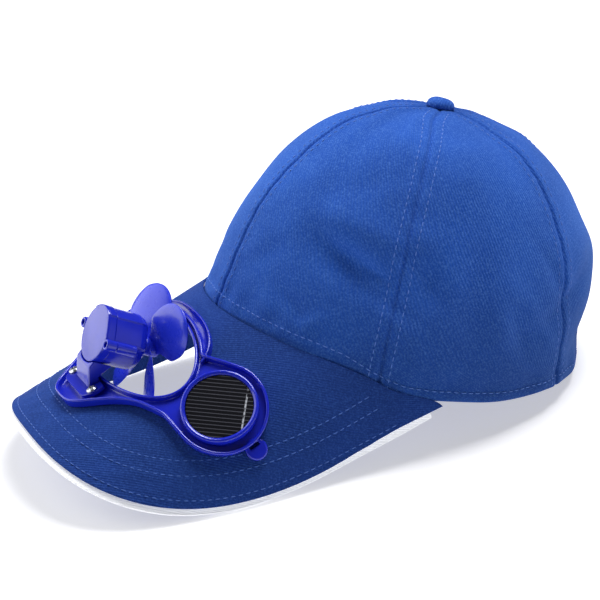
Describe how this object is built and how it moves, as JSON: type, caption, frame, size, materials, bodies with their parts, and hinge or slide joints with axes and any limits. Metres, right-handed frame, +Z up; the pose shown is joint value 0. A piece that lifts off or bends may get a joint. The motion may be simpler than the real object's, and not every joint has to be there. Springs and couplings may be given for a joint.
{
  "type": "solar fan hat",
  "caption": "Panelled cloth sun cap with an arched brim that carries a solar-powered fan in a plastic tray round a hole.",
  "frame": {"origin": "centre of the bounding box's bottom face, on the table that the cap lies on", "axes": "+Z up, -Y the way the brim points, +X the wearer's left; the cap leans as it lies by itself"},
  "size_m": [0.1722, 0.3008, 0.1375],
  "materials": {
    "blue_cloth": "brushed cotton twill, matte",
    "white_cloth": "cotton twill, matte",
    "blue_plastic": "moulded, glossy",
    "solar_cell": "black cell under a clear coat",
    "steel": "polished"
  },
  "bodies": {
    "cap": {"crown_front_left": "blue_cloth", "crown_side_left": "blue_cloth", "crown_back_left": "blue_cloth", "crown_back_right": "blue_cloth", "crown_side_right": "blue_cloth", "crown_front_right": "blue_cloth", "top_button": "blue_cloth", "back_strap": "blue_cloth", "brim_top": "blue_cloth", "brim_sandwich": "white_cloth", "brim_under": "blue_cloth", "fan_tray": "blue_plastic", "bezel_left": "blue_plastic", "solar_cell_left": "solar_cell", "bezel_right": "blue_plastic", "solar_cell_right": "solar_cell", "motor_bracket": "blue_plastic", "bracket_screw_left": "steel", "bracket_screw_right": "steel", "motor_cap": "blue_plastic", "motor_housing": "blue_plastic"},
    "fan": {"motor_shaft": "steel", "fan_rotor": "blue_plastic"}
  },
  "joints": [
    {"name": "fan_spin", "type": "hinge", "parent": "cap", "child": "fan", "pos_m": [0.00003, -0.08225, 0.05055], "axis": [0, -0.8655, 0.501], "continuous": true}
  ]
}
